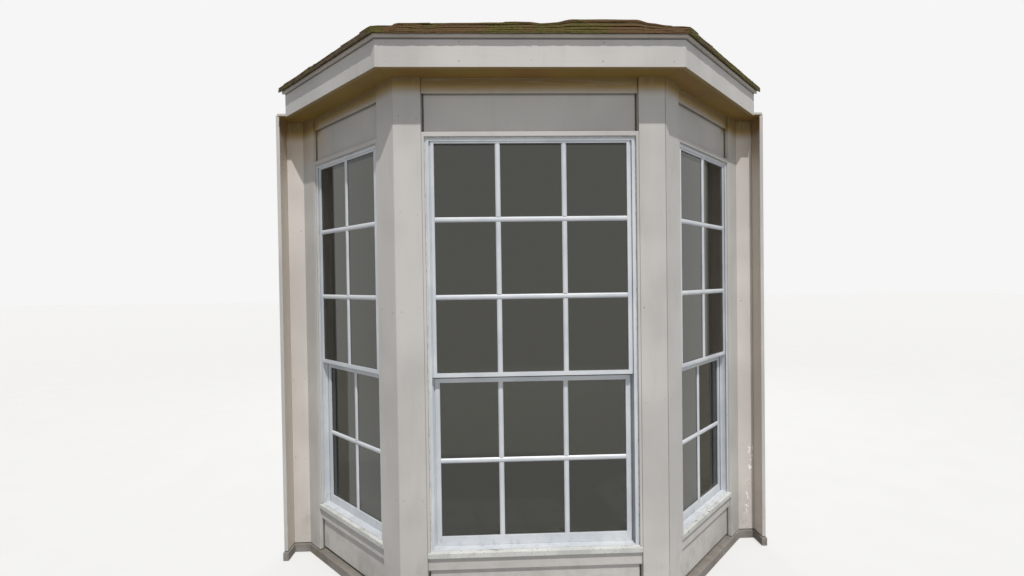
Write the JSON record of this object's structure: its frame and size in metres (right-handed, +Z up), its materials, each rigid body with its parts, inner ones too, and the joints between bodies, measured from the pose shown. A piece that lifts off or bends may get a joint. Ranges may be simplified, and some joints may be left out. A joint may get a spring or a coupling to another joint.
{
  "type": "canted bay window",
  "caption": "Canted bay window of painted boards with tall single-hung windows on its three sides, under a low hip roof that dies into the house wall.",
  "frame": {"origin": "on the ground, midway between the eave and the back of the wall boards, on the bay's centre line", "axes": "+X to the right along the house wall seen from outside, +Y into the house, +Z up; the front of the bay faces -Y"},
  "size_m": [2.654, 0.775, 2.8485],
  "materials": {
    "painted_board": "satin house paint, weathered",
    "soffit_paint": "satin house paint",
    "weathered_sill": "worn paint",
    "wall_framing": "painted lining inside, bare outside",
    "interior_paint": "satin paint",
    "bare_board": "bare plywood",
    "white_aluminium": "white baked enamel",
    "clear_glass": "clear",
    "shingles": "mossy mineral shingles on boards",
    "concrete": "broom-finished concrete"
  },
  "bodies": {
    "root": {"apron_mouldings": "painted_board", "apron_panels": "painted_board", "ceiling": "interior_paint", "corner_front_boards": "painted_board", "corner_post_left": "wall_framing", "corner_post_right": "wall_framing", "corner_side_boards": "painted_board", "eave_mould": "painted_board", "end_boards": "painted_board", "fascia_front": "painted_board", "fascia_left": "painted_board", "fascia_right": "painted_board", "foundation_slab": "concrete", "frieze_boards": "painted_board", "head_panels": "painted_board", "header_front": "wall_framing", "header_left": "wall_framing", "header_right": "wall_framing", "knee_wall_front": "wall_framing", "knee_wall_left": "wall_framing", "knee_wall_right": "wall_framing", "lower_sash_front": "white_aluminium", "lower_sash_left": "white_aluminium", "lower_sash_right": "white_aluminium", "return_boards": "painted_board", "roof_front": "shingles", "roof_left": "shingles", "roof_right": "shingles", "roof_wall_board": "bare_board", "soffit_front": "soffit_paint", "soffit_left": "soffit_paint", "soffit_right": "soffit_paint", "upper_sash_front": "white_aluminium", "upper_sash_left": "white_aluminium", "upper_sash_right": "white_aluminium", "wall_boards": "painted_board", "wall_post_left": "wall_framing", "wall_post_right": "wall_framing", "window_frame_front": "white_aluminium", "window_frame_left": "white_aluminium", "window_frame_right": "white_aluminium", "window_glass_front": "clear_glass", "window_glass_left": "clear_glass", "window_glass_right": "clear_glass", "window_sill_front": "weathered_sill", "window_sill_left": "weathered_sill", "window_sill_right": "weathered_sill", "window_stools": "interior_paint", "window_trim": "painted_board"}
  },
  "joints": []
}
